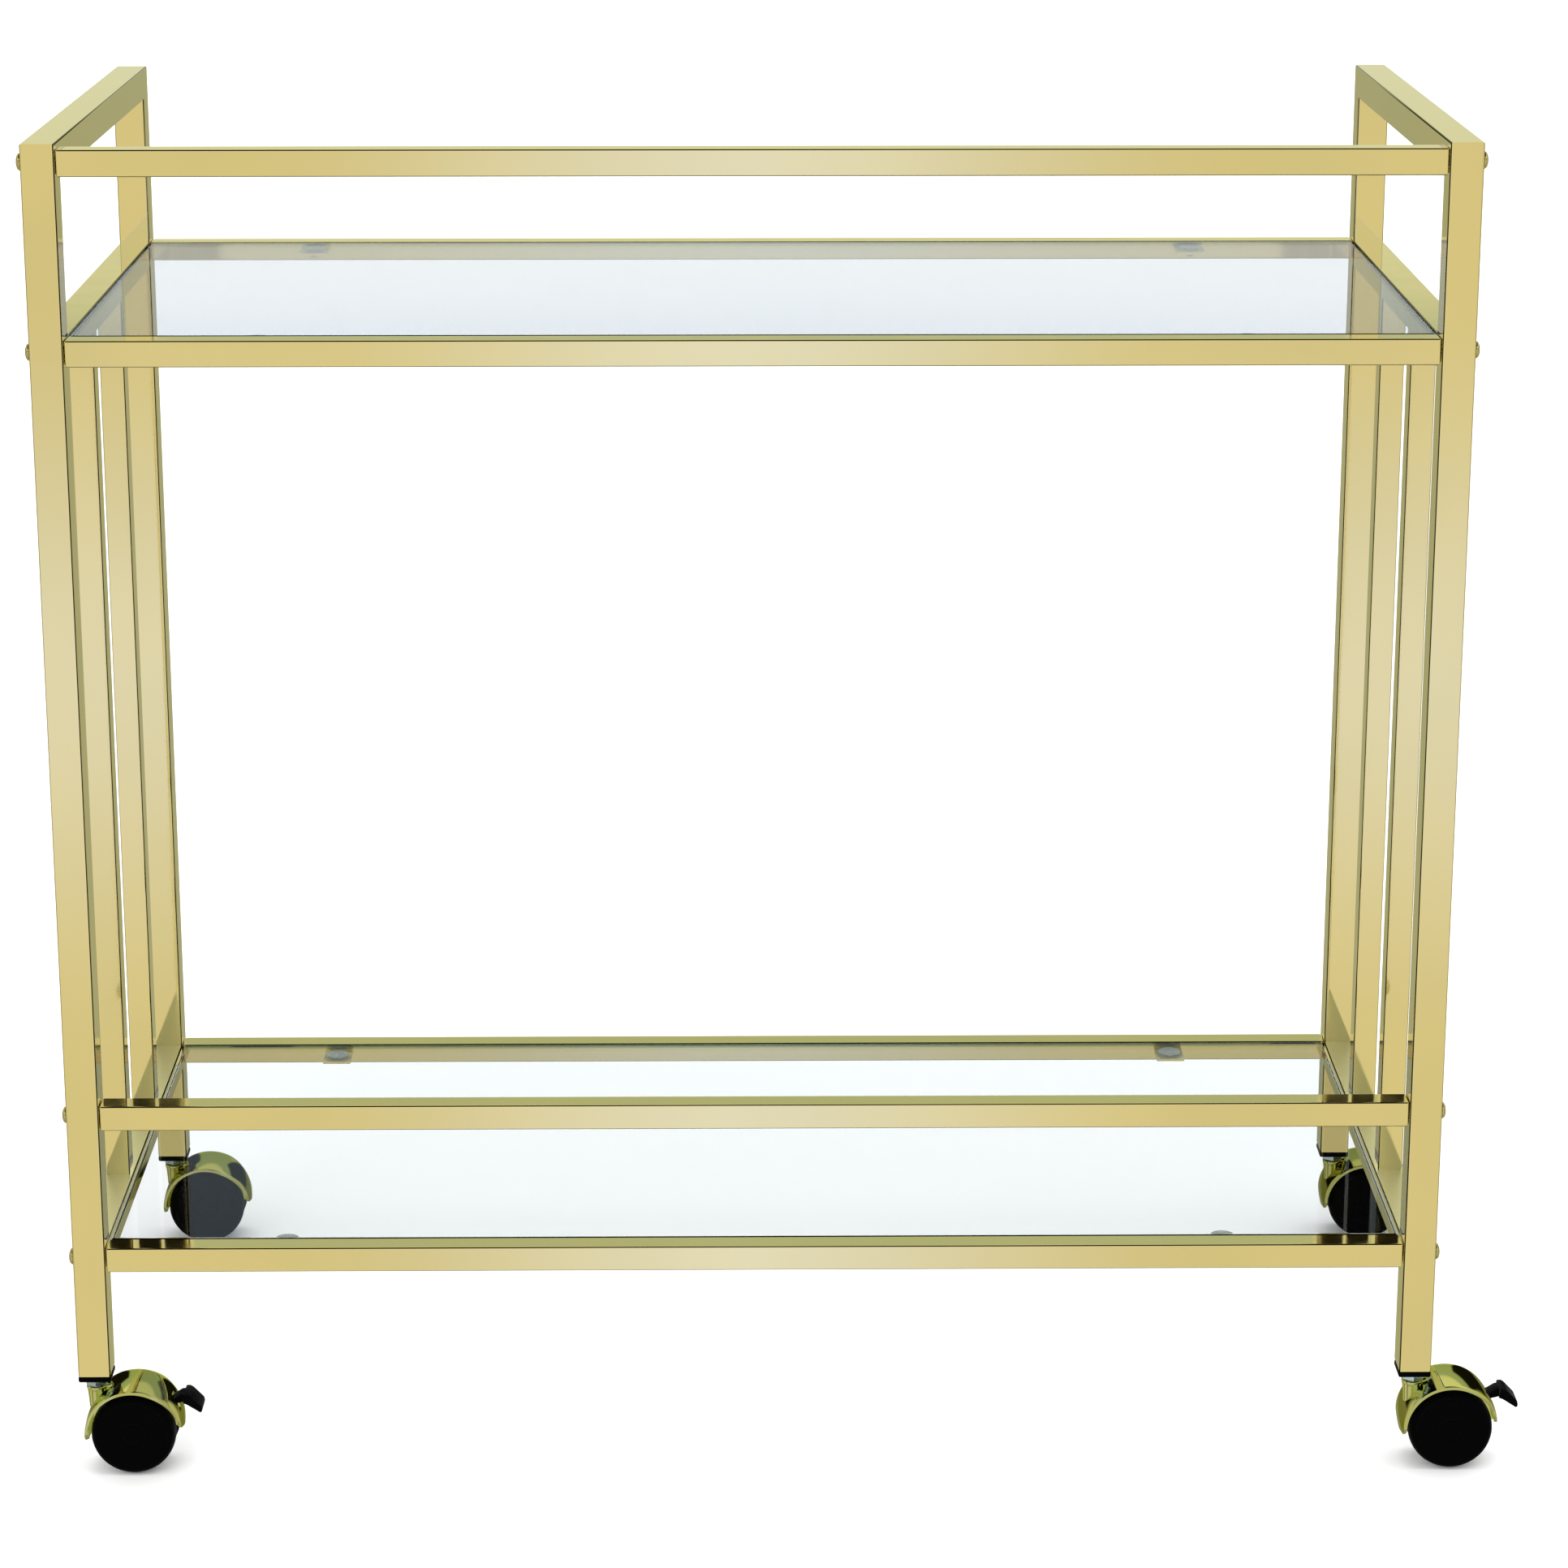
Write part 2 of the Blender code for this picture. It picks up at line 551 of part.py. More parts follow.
def add_casters():
    plain = caster_body_mesh("caster_body", False)
    braked = caster_body_mesh("caster_body_braked", True)
    wheel, lever, stem, cap = wheel_mesh(), lever_mesh(), stem_mesh(), end_cap_mesh()
    axle = finished(cylinder("axle", AXLE_R, 2 * AXLE_HALF, axis="Y", steps=16, material=STEEL), "axle")
    pin = finished(cylinder("pin", PIN_R, 2 * WEB_HALF - GAP, axis="Y", material=STEEL), "brake_pin")
    for end, end_side in ENDS.items():
        for name, side in SIDES.items():
            corner = f"{end}_{name}"
            swivel = bpy.data.objects.new(f"swivel_{corner}", None)
            swivel.location = (FRAME_X + side * LEG_X, end_side * LEG_Y, 0)
            PARTS.objects.link(swivel)
            centre = (TRAIL, 0, WHEEL_R)
            has_brake = end == "front"
            add_object(f"end_cap_{corner}", cap, BLACK, swivel.location)
            add_object(f"caster_stem_{corner}", stem, ZINC, swivel.location)
            add_object(f"caster_body_{corner}", braked if has_brake else plain, CASTER_BRASS,
                       centre, swivel)
            add_object(f"wheel_axle_{corner}", axle, STEEL, centre, swivel)
            for face, turn in {"fore": pi / 2, "aft": -pi / 2}.items():
                add_object(f"wheel_{corner}_{face}", wheel, BLACK, centre,
                           swivel).rotation_euler.x = turn
            if has_brake:
                pivot = (TRAIL + PIVOT[0], 0, WHEEL_R + PIVOT[1])
                add_object(f"brake_lever_{corner}", lever, BLACK, pivot, swivel)
                add_object(f"brake_pin_{corner}", pin, STEEL, pivot, swivel)


add_side_frames()
add_rails()
add_bolts()
add_shelves()
add_casters()
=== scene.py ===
"""Looks for the two-tier bar cart: gold plated tube, clear glass shelves, twin-wheel casters."""

from math import cos, pi, radians, sin, sqrt

import bmesh
import bpy
from mathutils import Matrix, Vector


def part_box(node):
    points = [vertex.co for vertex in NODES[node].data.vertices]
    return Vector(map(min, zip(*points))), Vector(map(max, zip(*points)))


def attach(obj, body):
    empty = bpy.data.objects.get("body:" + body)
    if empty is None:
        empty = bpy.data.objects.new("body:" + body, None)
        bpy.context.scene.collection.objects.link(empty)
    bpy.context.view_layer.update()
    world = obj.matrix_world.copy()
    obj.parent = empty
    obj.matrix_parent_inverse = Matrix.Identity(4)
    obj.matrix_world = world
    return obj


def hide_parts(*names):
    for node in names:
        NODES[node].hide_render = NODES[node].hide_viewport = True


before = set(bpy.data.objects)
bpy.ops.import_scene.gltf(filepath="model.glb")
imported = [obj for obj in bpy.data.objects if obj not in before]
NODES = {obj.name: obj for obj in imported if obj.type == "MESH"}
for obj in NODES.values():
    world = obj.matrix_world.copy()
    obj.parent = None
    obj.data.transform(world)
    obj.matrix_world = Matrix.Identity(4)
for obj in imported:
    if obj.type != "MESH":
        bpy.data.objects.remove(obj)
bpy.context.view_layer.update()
CORNERS = [(end, side) for end in ("front", "back") for side in ("left", "right")]


# ---- Node materials ------------------------------------------------------------------------

class Graph:
    """Short calls for building a node tree."""

    def __init__(self, tree):
        self.tree = tree

    def node(self, kind, links=None, **settings):
        made = self.tree.nodes.new(kind)
        for name, value in settings.items():
            setattr(made, name, value)
        for socket, value in (links or {}).items():
            self.put(made.inputs[socket], value)
        return made

    def put(self, socket, value):
        if isinstance(value, bpy.types.NodeSocket):
            self.tree.links.new(value, socket)
        elif socket.type == "RGBA" and len(value) == 3:
            socket.default_value = (*value, 1.0)
        else:
            socket.default_value = value

    def math(self, operation, *values):
        made = self.node("ShaderNodeMath", operation=operation)
        for socket, value in zip(made.inputs, values):
            self.put(socket, value)
        return made.outputs[0]

    def span(self, value, low, high, to_low=0.0, to_high=1.0):
        """Eases from to_low to to_high as value goes from low to high."""
        made = self.node("ShaderNodeMapRange", interpolation_type="SMOOTHSTEP")
        for socket, item in zip(made.inputs, (value, low, high, to_low, to_high)):
            self.put(socket, item)
        return made.outputs[0]

    def fall(self, value, low, high):
        return self.span(value, low, high, 1.0, 0.0)

    def product(self, first, second):
        return self.math("MULTIPLY", first, second)

    def greater(self, first, second):
        return self.math("MAXIMUM", first, second)

    def parts(self, vector):
        return self.node("ShaderNodeSeparateXYZ", {0: vector}).outputs

    def mix(self, factor, first, second):
        made = self.node("ShaderNodeMix", data_type="RGBA")
        self.put(made.inputs[0], factor)
        self.put(made.inputs[6], first)
        self.put(made.inputs[7], second)
        return made.outputs[2]

    def coords(self, kind):
        return self.node("ShaderNodeTexCoord").outputs[kind]

    def noise(self, scale, detail=2.0, rough=0.5, stretch=(1, 1, 1)):
        where = self.coords("Object")
        if stretch != (1, 1, 1):
            where = self.node("ShaderNodeMapping", {"Vector": where, "Scale": stretch}).outputs[0]
        settings = {"Vector": where, "Scale": scale, "Detail": detail, "Roughness": rough}
        return self.node("ShaderNodeTexNoise", settings).outputs[0]

    def bump(self, height, strength, distance):
        settings = {"Height": height, "Strength": strength, "Distance": distance}
        return self.node("ShaderNodeBump", settings).outputs[0]

    def path(self):
        return self.node("ShaderNodeLightPath").outputs

    def either(self, factor, first, second):
        """The first shader where factor is 0 and the second where it is 1."""
        links = {0: factor, 1: first.outputs[0], 2: second.outputs[0]}
        return self.node("ShaderNodeMixShader", links).outputs[0]


def new_material(name):
    material = bpy.data.materials.new(name)
    material.use_nodes = True
    graph = Graph(material.node_tree)
    shader = material.node_tree.nodes["Principled BSDF"]
    return material, graph, shader


def surface(material):
    return material.node_tree.nodes["Material Output"].inputs["Surface"]


def painted_edge_line_share(graph):
    """How far a point is round a tube's corner, where a painted dark reflection line goes: 0 on its flats and
    1 on its rounds.

    It is less on the corners that are outermost on the cart, and on the ones that look down.
    """
    across, along, up = graph.parts(graph.coords("Normal"))
    sizes = [graph.math("ABSOLUTE", part) for part in (across, along, up)]
    flat = graph.greater(graph.greater(sizes[0], sizes[1]), sizes[2])
    share = graph.fall(flat, 0.93, 0.975)
    outward = graph.product(graph.parts(graph.coords("Object"))[0], across)
    outer = graph.span(outward, 0.02, 0.10, 1.0, 0.25)
    under = graph.span(up, -0.5, -0.2, 0.5, 1.0)
    return graph.product(share, graph.product(outer, under))


def low_tubes(graph, height):
    """The side frames' bottom tubes."""
    return graph.fall(height, 0.25, 0.30)


def shelf_tabs(graph, height):
    """The tabs under the glass, whose tops are lower than their rail's."""
    lower = graph.fall(height, 0.1345, 0.1365)
    upper = graph.product(graph.span(height, 0.3, 0.4), graph.fall(height, 0.673, 0.675))
    return graph.greater(lower, upper)


def bolt_painted_dark_ends(graph):
    """Where a bolt head gets its painted dark outline: its seat and its crown, by their heights over the
    seat.
    """
    height = graph.parts(graph.coords("Object"))[2]
    return graph.greater(graph.fall(height, 0.0003, 0.0008), graph.span(height, 0.0022, 0.0026))


def plated(name, tones, grazing, rough=(0.03, 0.08), ripple=0.004, edge=None, satin_and_painted_top=None, seat=None):
    """Polished plate: two close tones in broad patches, soft smears in the gloss, a faint ripple.

    edge is the painted dark reflection line on a tube's corners, satin the painted lighter tone of the faces
    that look up, which are also made rougher, with the function that says at which heights, and seat a bolt
    head's painted dark seat and crown.
    """
    material, graph, shader = new_material(name)
    tone = graph.mix(graph.span(graph.noise(7.0), 0.35, 0.65), *tones)
    gloss = graph.span(graph.noise(38.0, 4.0, 0.6, (1, 1, 0.35)), 0.3, 0.75, *rough)
    # faces that look up, at the given heights, get a painted lighter tone and a rougher gloss
    if satin_and_painted_top:
        painted_top_tone, at_height = satin_and_painted_top
        up = graph.parts(graph.coords("Normal"))[2]
        height = graph.parts(graph.coords("Object"))[2]
        top = graph.product(graph.span(up, 0.8, 0.95), at_height(graph, height))
        tone = graph.mix(top, tone, painted_top_tone)
        gloss = graph.math("ADD", gloss, graph.product(top, SATIN_ROUGHNESS))
    # painted dark reflection line on the tubes' rounded corners
    if edge:
        tone = graph.mix(painted_edge_line_share(graph), tone, edge)
    # painted dark outline on a bolt head's seat and crown
    if seat:
        tone = graph.mix(bolt_painted_dark_ends(graph), tone, seat)
    graph.put(shader.inputs["Base Color"], tone)
    graph.put(shader.inputs["Roughness"], gloss)
    shader.inputs["Metallic"].default_value = 1.0
    shader.inputs["Specular Tint"].default_value = (*grazing, 1.0)
    graph.put(shader.inputs["Normal"], graph.bump(graph.noise(60.0), ripple, 0.002))
    return material


def moulded(name, colour, rough=(0.30, 0.45), grain=0.10):
    """Moulded plastic: a fine sparked grain, and gloss that varies a little."""
    material, graph, shader = new_material(name)
    darker = tuple(0.6 * channel for channel in colour)
    graph.put(shader.inputs["Base Color"], graph.mix(graph.noise(25.0), darker, colour))
    graph.put(shader.inputs["Roughness"], graph.span(graph.noise(60.0, 3.0), 0.3, 0.7, *rough))
    shader.inputs["Specular IOR Level"].default_value = 0.02
    graph.put(shader.inputs["Normal"], graph.bump(graph.noise(1400.0), grain, 0.0002))
    return material


def zinc(name):
    """Dull plated steel, with fine turning marks."""
    material, graph, shader = new_material(name)
    marks = graph.noise(300.0, 3.0, 0.6, (1, 1, 12))
    graph.put(shader.inputs["Base Color"], graph.mix(marks, (0.42, 0.48, 0.47), (0.66, 0.73, 0.72)))
    graph.put(shader.inputs["Roughness"], graph.span(marks, 0.3, 0.7, 0.18, 0.34))
    shader.inputs["Metallic"].default_value = 1.0
    return material


def clear(name, face, edge, rough, bend, weight=1.0):
    """Clear glass or plastic that lets lamps through, deeper in tone at its edges."""
    material, graph, shader = new_material(name)
    normal = graph.node("ShaderNodeNewGeometry").outputs["True Normal"]
    flat = graph.math("ABSOLUTE", graph.parts(normal)[2])
    graph.put(shader.inputs["Base Color"], graph.mix(graph.span(flat, 0.3, 0.9), edge, face))
    graph.put(shader.inputs["Roughness"], graph.span(graph.noise(30.0, 3.0), 0.3, 0.7, *rough))
    shader.inputs["Transmission Weight"].default_value = weight
    shader.inputs["IOR"].default_value = bend
    through = graph.node("ShaderNodeBsdfTransparent", {"Color": (0.97, 0.98, 0.98)})
    path = graph.path()
    light_ray = graph.greater(path["Is Shadow Ray"], path["Is Diffuse Ray"])
    graph.put(surface(material), graph.either(light_ray, shader, through))
    return material


SATIN_ROUGHNESS = 0.38  # added to the polished plate's own
BRASS_TONES = (0.735, 0.60, 0.242), (0.705, 0.58, 0.238)
BRASS_GRAZING = (0.80, 0.76, 0.52)
# painted dark reflection line on the tubes' rounded corners, near black
BRASS_PAINTED_EDGE_LINE = (0.02, 0.018, 0.008)
GLASS_EDGE = (0.22, 0.32, 0.24)
GLASS_ROUGH = (0.0, 0.004)
GLASS_BEND = 1.10  # low, so that the shelves' tops mirror as little as in the photo

GOLD = plated("gold_plate", BRASS_TONES, BRASS_GRAZING, edge=BRASS_PAINTED_EDGE_LINE)
# painted lighter tone, with rougher gloss, on the tops of the side frames' bottom tubes
GOLD_SIDE = plated("gold_plate_side", BRASS_TONES, BRASS_GRAZING, edge=BRASS_PAINTED_EDGE_LINE,
                   satin_and_painted_top=((0.95, 0.90, 0.52), low_tubes))
# painted lighter tone, with rougher gloss, on the tops of the tabs under the glass
GOLD_SHELF = plated("gold_plate_shelf", BRASS_TONES, BRASS_GRAZING, edge=BRASS_PAINTED_EDGE_LINE,
                    satin_and_painted_top=((1.0, 0.97, 0.66), shelf_tabs))
# the bolts' gold: painted darker than the tubes' for the shade on their heads, with a painted dark outline
BOLT_GOLD_PAINTED_SHADE = plated("gold_plate_bolt", ((0.56, 0.47, 0.17), (0.46, 0.39, 0.14)), (0.50, 0.46, 0.24),
                   seat=(0.03, 0.026, 0.012))
CASTER_GOLD = plated("gold_plate_cast", ((0.50, 0.485, 0.165), (0.44, 0.425, 0.135)), (0.62, 0.61, 0.30),
                     rough=(0.02, 0.06), ripple=0.003)
ZINC = zinc("zinc_plate")
BLACK = moulded("black_plastic", (0.0010, 0.0010, 0.0011))
BLACK_WHEEL = moulded("black_wheel", (0.0006, 0.0006, 0.0007), (0.35, 0.5), 0.04)
GLASS = clear("clear_glass", (0.595, 0.612, 0.638), GLASS_EDGE, GLASS_ROUGH, GLASS_BEND)
# the lower shelf's glass, clearer in tint than the upper's: painted light on the shaded floor seen through it
GLASS_LOW_PAINTED_LIGHT = clear("clear_glass_low_painted_light", (0.665, 0.69, 0.70), GLASS_EDGE, GLASS_ROUGH, GLASS_BEND)
PAD = clear("clear_pad", (0.50, 0.53, 0.50), (0.34, 0.38, 0.34), (0.05, 0.15), 1.4, weight=0.7)


# ---- Shapes --------------------------------------------------------------------------------

ALONG_Y = Matrix.Rotation(pi / 2, 4, "X")  # lays a turned shape's axis along Y


def object_of(name, bm, material=None):
    mesh = bpy.data.meshes.new(name)
    bmesh.ops.recalc_face_normals(bm, faces=bm.faces)
    bm.to_mesh(mesh)
    bm.free()
    if material:
        mesh.materials.append(material)
    obj = bpy.data.objects.new(name, mesh)
    bpy.context.scene.collection.objects.link(obj)
    return obj


def lathe(name, profile, steps, material=None):
    """Turns (radius, height) points about Z; a point at radius 0 is one vertex."""
    bm = bmesh.new()
    turns = [2 * pi * i / steps for i in range(steps)]
    rings = []
    for radius, height in profile:
        if radius == 0:
            rings.append([bm.verts.new((0, 0, height))] * steps)
        else:
            rings.append([bm.verts.new((radius * cos(turn), radius * sin(turn), height)) for turn in turns])
    for low, high in zip(rings, rings[1:]):
        for i in range(steps):
            j = (i + 1) % steps
            corners = list(dict.fromkeys([low[i], low[j], high[j], high[i]]))
            if len(corners) > 2:
                bm.faces.new(corners)
    return object_of(name, bm, material)


def disc(name, radius, half, steps, material=None, centre=(0, 0, 0)):
    """A disc with its axis along Y, half thick each way."""
    made = lathe(name, [(0, half), (radius, half), (radius, -half), (0, -half)], steps, material)
    made.data.transform(Matrix.Translation(centre) @ ALONG_Y)
    return made


def prism(name, outline, half, material=None):
    """An outline of (x, z) points, extruded half each way along Y."""
    bm = bmesh.new()
    near = [bm.verts.new((x, -half, z)) for x, z in outline]
    far = [bm.verts.new((x, half, z)) for x, z in outline]
    bm.faces.new(near)
    bm.faces.new(far[::-1])
    for i in range(len(outline)):
        j = (i + 1) % len(outline)
        bm.faces.new([near[j], near[i], far[i], far[j]])
    return object_of(name, bm, material)


def block(name, size, location, turn=0.0):
    """A box turned about Y, its place in its own vertices."""
    bm = bmesh.new()
    turned = Matrix.Rotation(turn, 4, "Y") @ Matrix.Diagonal((*size, 1))
    bmesh.ops.create_cube(bm, size=1, matrix=Matrix.Translation(location) @ turned)
    return object_of(name, bm)


def round_edges(obj, width, segments=3, angle=30):
    bevel = obj.modifiers.new("round", "BEVEL")
    bevel.width = width
    bevel.segments = segments
    bevel.limit_method = "ANGLE"
    bevel.angle_limit = radians(angle)


def combine(obj, operation, *others):
    for other in others:
        modifier = obj.modifiers.new("combine", "BOOLEAN")
        modifier.operation = operation
        modifier.solver = "EXACT"
        modifier.object = other


def settle(obj, *helpers, smooth=35):
    """Applies the modifiers, shades smooth up to an angle, and removes the helpers."""
    bpy.context.view_layer.update()
    shaped = obj.evaluated_get(bpy.context.evaluated_depsgraph_get())
    mesh = bpy.data.meshes.new_from_object(shaped)
    mesh.shade_smooth()
    mesh.set_sharp_from_angle(angle=radians(smooth))
    obj.modifiers.clear()
    obj.data = mesh
    for helper in helpers:
        bpy.data.objects.remove(helper)
    return obj


def millimetres(points):
    return [(a / 1000, b / 1000) for a, b in points]


def place(shape, name, matrix, body, slot, *nodes):
    """A piece that shares a finished shape's mesh, put where its CAD nodes are."""
    obj = bpy.data.objects.new(name, shape.data)
    bpy.context.scene.collection.objects.link(obj)
    obj.matrix_world = matrix
    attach(obj, body)
    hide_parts(*nodes)
    return obj


def middle(node):
    low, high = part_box(node)
    return (low + high) / 2


# ---- CAD nodes that stay: better shading and materials -----------------------------------------

SQUARE = 0.9995  # a face this close to an axis is one of a tube's flats
NEXT_TO_ROUND = 0.4  # how far a flat has to face the same way as the round beside it
SAME_ROUND = 0.6  # and two faces of one round
SMALL = 1e-5


def square_to(normal):
    """The axis that a flat faces along, or None for a face of a round."""
    for axis in range(3):
        if abs(normal[axis]) > SQUARE:
            facing = Vector()
            facing[axis] = 1.0 if normal[axis] > 0 else -1.0
            return facing
    return None


def crisp_normals(mesh):
    """Flats shade truly flat, and each round shades from one flat's direction to the next's."""
    def spot(index):
        return tuple(round(value / SMALL) for value in mesh.vertices[index].co)

    axes = [square_to(face.normal) for face in mesh.polygons]
    around = {}
    for face in mesh.polygons:
        for index in face.vertices:
            around.setdefault(spot(index), []).append(face.index)
    normals = []
    for face, axis in zip(mesh.polygons, axes):
        for index in face.vertices:
            near = around[spot(index)]
            flats = [axes[i] for i in near if axes[i] and axes[i].dot(face.normal) > NEXT_TO_ROUND]
            if axis:
                normals.append(axis)
            elif flats:
                normals.append(max(flats, key=face.normal.dot))
            else:
                close = [mesh.polygons[i] for i in near]
                soft = [item for item in close if item.normal.dot(face.normal) > SAME_ROUND]
                normals.append(sum((item.normal * item.area for item in soft), Vector()).normalized())
    mesh.normals_split_custom_set(normals)


def keep(node, material, crisp=False):
    """A CAD node's own material and shading: crisp on tubes and glass, smooth up to a crease elsewhere."""
    obj = NODES[node]
    obj.data.materials.clear()
    obj.data.materials.append(material)
    obj.data.polygons.foreach_set("use_smooth", [True] * len(obj.data.polygons))
    if "custom_normal" in obj.data.attributes:
        obj.data.attributes.remove(obj.data.attributes["custom_normal"])
    if crisp:
        crisp_normals(obj.data)
    else:
        weld = obj.modifiers.new("weld", "WELD")
        weld.merge_threshold = 2 * SMALL
        split = obj.modifiers.new("creases", "EDGE_SPLIT")
        split.split_angle = radians(35)


for node in NODES:
    if node.startswith("side_frame"):
        keep(node, GOLD_SIDE, crisp=True)
    elif node.startswith(("shelf_rail", "guard_rail")):
        keep(node, GOLD_SHELF if node.startswith("shelf") else GOLD, crisp=True)
    elif node.startswith("glass_shelf"):
        keep(node, GLASS_LOW_PAINTED_LIGHT if "lower" in node else GLASS, crisp=True)
    elif node.startswith("caster_stem"):
        keep(node, ZINC)
    elif node.startswith(("wheel_axle", "brake_pin")):
        keep(node, ZINC)

# ---- Wheels ------------------------------------------------------------------------------------


def wheel_piece():
    """A wheel with its outer face up: (radius, height over the caster's middle plane) in millimetres."""
    hub_cap = [(0, 15.95), (4.8, 15.95), (5.6, 15.85), (6.2, 15.55), (6.6, 15.5), (7.0, 15.55)]
    face = [(7.6, 16.0), (9.0, 16.15), (19.2, 16.45)]
    ring_groove = [(19.7, 16.45), (20.0, 16.2), (20.4, 16.2), (20.7, 16.45)]
    tread = [(21.6, 16.35), (22.6, 15.95), (23.5, 15.2), (24.2, 14.1), (24.65, 12.8), (24.9, 11.2),
             (24.98, 9.5), (24.9, 7.4), (24.7, 5.6), (24.3, 4.4), (23.7, 3.7), (22.9, 3.42)]
    open_side = [(20.6, 3.4), (20.5, 3.6), (20.4, 12.9), (6.7, 13.0), (6.5, 3.6), (6.4, 3.4)]
    bore = [(3.4, 3.4), (3.3, 3.5), (3.3, 14.1), (0, 14.1)]
    profile = millimetres(hub_cap + face + ring_groove + tread + open_side + bore)
    return settle(lathe("wheel_shape", profile, 72, BLACK_WHEEL), smooth=40)


WHEEL = wheel_piece()
for end, side in CORNERS:
    for face, sign in {"fore": 1, "aft": -1}.items():
        node = f"wheel_{end}_{side}_{face}"
        centre = middle(node)
        centre.y = middle(f"wheel_axle_{end}_{side}").y
        upright = Matrix.Translation(centre) @ Matrix.Rotation(sign * pi / 2, 4, "X")
        tread = place(WHEEL, f"{node}_tread", upright, node, "black_plastic", node)
        tread.visible_glossy = False  # the castings don't mirror it

# ---- Caster bodies -----------------------------------------------------------------------------

# A caster's shapes are made with the wheels' axis along Y through the origin, and the stem at -TRAIL
HOOD_R, HOOD_CROWN, HOOD_THICK = 0.0283, 0.0008, 0.0018
HOOD_MIDDLE, HOOD_REACH = radians(96), radians(94.5)  # the arc's middle, and how far it goes each way
HOOD_HALF_WIDTH, TAIL_IN = 0.017, 0.0055  # the tail is narrower on each side by the second
TAIL_START, TAIL_RUN = 0.30, 0.65  # shares of the reach
TIP_RUN, TIP_LEAST = 0.16, 0.42  # the rounded ends: their share of the reach, and of the width
TRAIL = 0.022
LEVER_SLOT, LEVER_TURN = (0.009, 0.0100, 0.0104), radians(31)
WEB_HALF, WEB_INSET = 0.003, 0.0006
WEB_CUT, WEB_TILT = (0.12, 0.12, 0.0566), radians(6)
WEB_CUT_BELOW = 0.0298  # from the axle down to the cut's middle
PIVOT = 0.015, 0.014  # the brake lever's, in x and z
SLIT, SLIT_TURN = (0.0155, 0.004, 0.0082), radians(13)
WELL_R, WELL_HALF = 0.0042, 0.002


def along(angle, distance, start=(0, 0)):
    """A point in the caster's middle plane, at an angle above the +X direction from (x, z)."""
    return (start[0] + distance * cos(angle), 0, start[1] + distance * sin(angle))


def hood_half_width(lengthways):
    """lengthways is -1 at the hood's tail, on the brake lever's side, and 1 at its end past the stem."""
    tail = min(1.0, max(0.0, (-lengthways - TAIL_START) / TAIL_RUN))
    half = HOOD_HALF_WIDTH - TAIL_IN * tail * tail * (3 - 2 * tail)
    tip = min(1.0, max(0.0, (abs(lengthways) - (1 - TIP_RUN)) / TIP_RUN))
    return half * (TIP_LEAST + (1 - TIP_LEAST) * sqrt(1 - tip * tip))


def hood_piece(braked):
    """A crowned arc of sheet over both wheels, with a slot for the lever's arm."""
    bm = bmesh.new()
    bmesh.ops.create_grid(bm, x_segments=96, y_segments=12, size=1)
    for vert in bm.verts:
        lengthways, across = vert.co.x, vert.co.y
        radius = HOOD_R + HOOD_CROWN * (1 - across * across)
        vert.co = along(HOOD_MIDDLE + HOOD_REACH * lengthways, radius)
        vert.co.y = across * hood_half_width(lengthways)
    hood = object_of("hood", bm, CASTER_GOLD)
    first = hood.data.polygons[len(hood.data.polygons) // 2]
    if first.normal.dot(Vector((first.center.x, 0, first.center.z))) < 0:
        hood.data.flip_normals()
    shell = hood.modifiers.new("thickness", "SOLIDIFY")
    shell.thickness = HOOD_THICK
    shell.offset = -1
    helpers = []
    if braked:
        helpers.append(block("slot", LEVER_SLOT, along(LEVER_TURN, HOOD_R), -LEVER_TURN))
    combine(hood, "DIFFERENCE", *helpers)
    round_edges(hood, 0.00055, 3)
    return settle(hood, *helpers)


def web_piece(braked):
    """The plate between the wheels, cut off under the axle, with a slit and a well for the lever."""
    web = disc("web", HOOD_R - WEB_INSET, WEB_HALF, 96, CASTER_GOLD)
    helpers = [block("below", WEB_CUT, along(WEB_TILT - pi / 2, WEB_CUT_BELOW), -WEB_TILT)]
    if braked:
        helpers.append(block("slit", SLIT, along(SLIT_TURN, SLIT[0] / 2, PIVOT), -SLIT_TURN))
        helpers.append(disc("well", WELL_R, WELL_HALF, 32, centre=along(0, 0, PIVOT)))
    combine(web, "DIFFERENCE", *helpers)
    round_edges(web, 0.0003, 2)
    return settle(web, *helpers)


def boss_piece():
    """A flared boss with a lip, bored for the stem, its foot cut clear inside the hood."""
    profile = millimetres([(0, 26.5), (5.8, 26.5), (6.15, 26.4), (6.3, 26.1), (6.3, 25.2), (6.05, 24.6),
                           (5.75, 23.2), (5.45, 20.5), (5.2, 17.5), (5.05, 15.0), (5.0, 13.0), (0, 13.0)])
    boss = lathe("boss", profile, 56, CASTER_GOLD)
    boss.data.transform(Matrix.Translation((-TRAIL, 0, 0)))
    room = disc("room", HOOD_R - 0.0014, 0.03, 96)
    bore = lathe("bore", millimetres([(0, 27.5), (3.5, 27.5), (3.5, 18.2), (0, 18.2)]), 40)
    bore.data.transform(Matrix.Translation((-TRAIL, 0, 0)))
    combine(boss, "DIFFERENCE", room, bore)
    return settle(boss, room, bore)


def rib_piece():
    """A rib from the boss to the hood's crown."""
    rib = prism("rib", millimetres([(-20.5, 17.2), (-12.0, 24.9), (-13.6, 27.3), (-16.2, 26.3),
                                    (-18.0, 26.0), (-20.5, 25.6)]), 0.0024, CASTER_GOLD)
    round_edges(rib, 0.0006)
    return settle(rib)


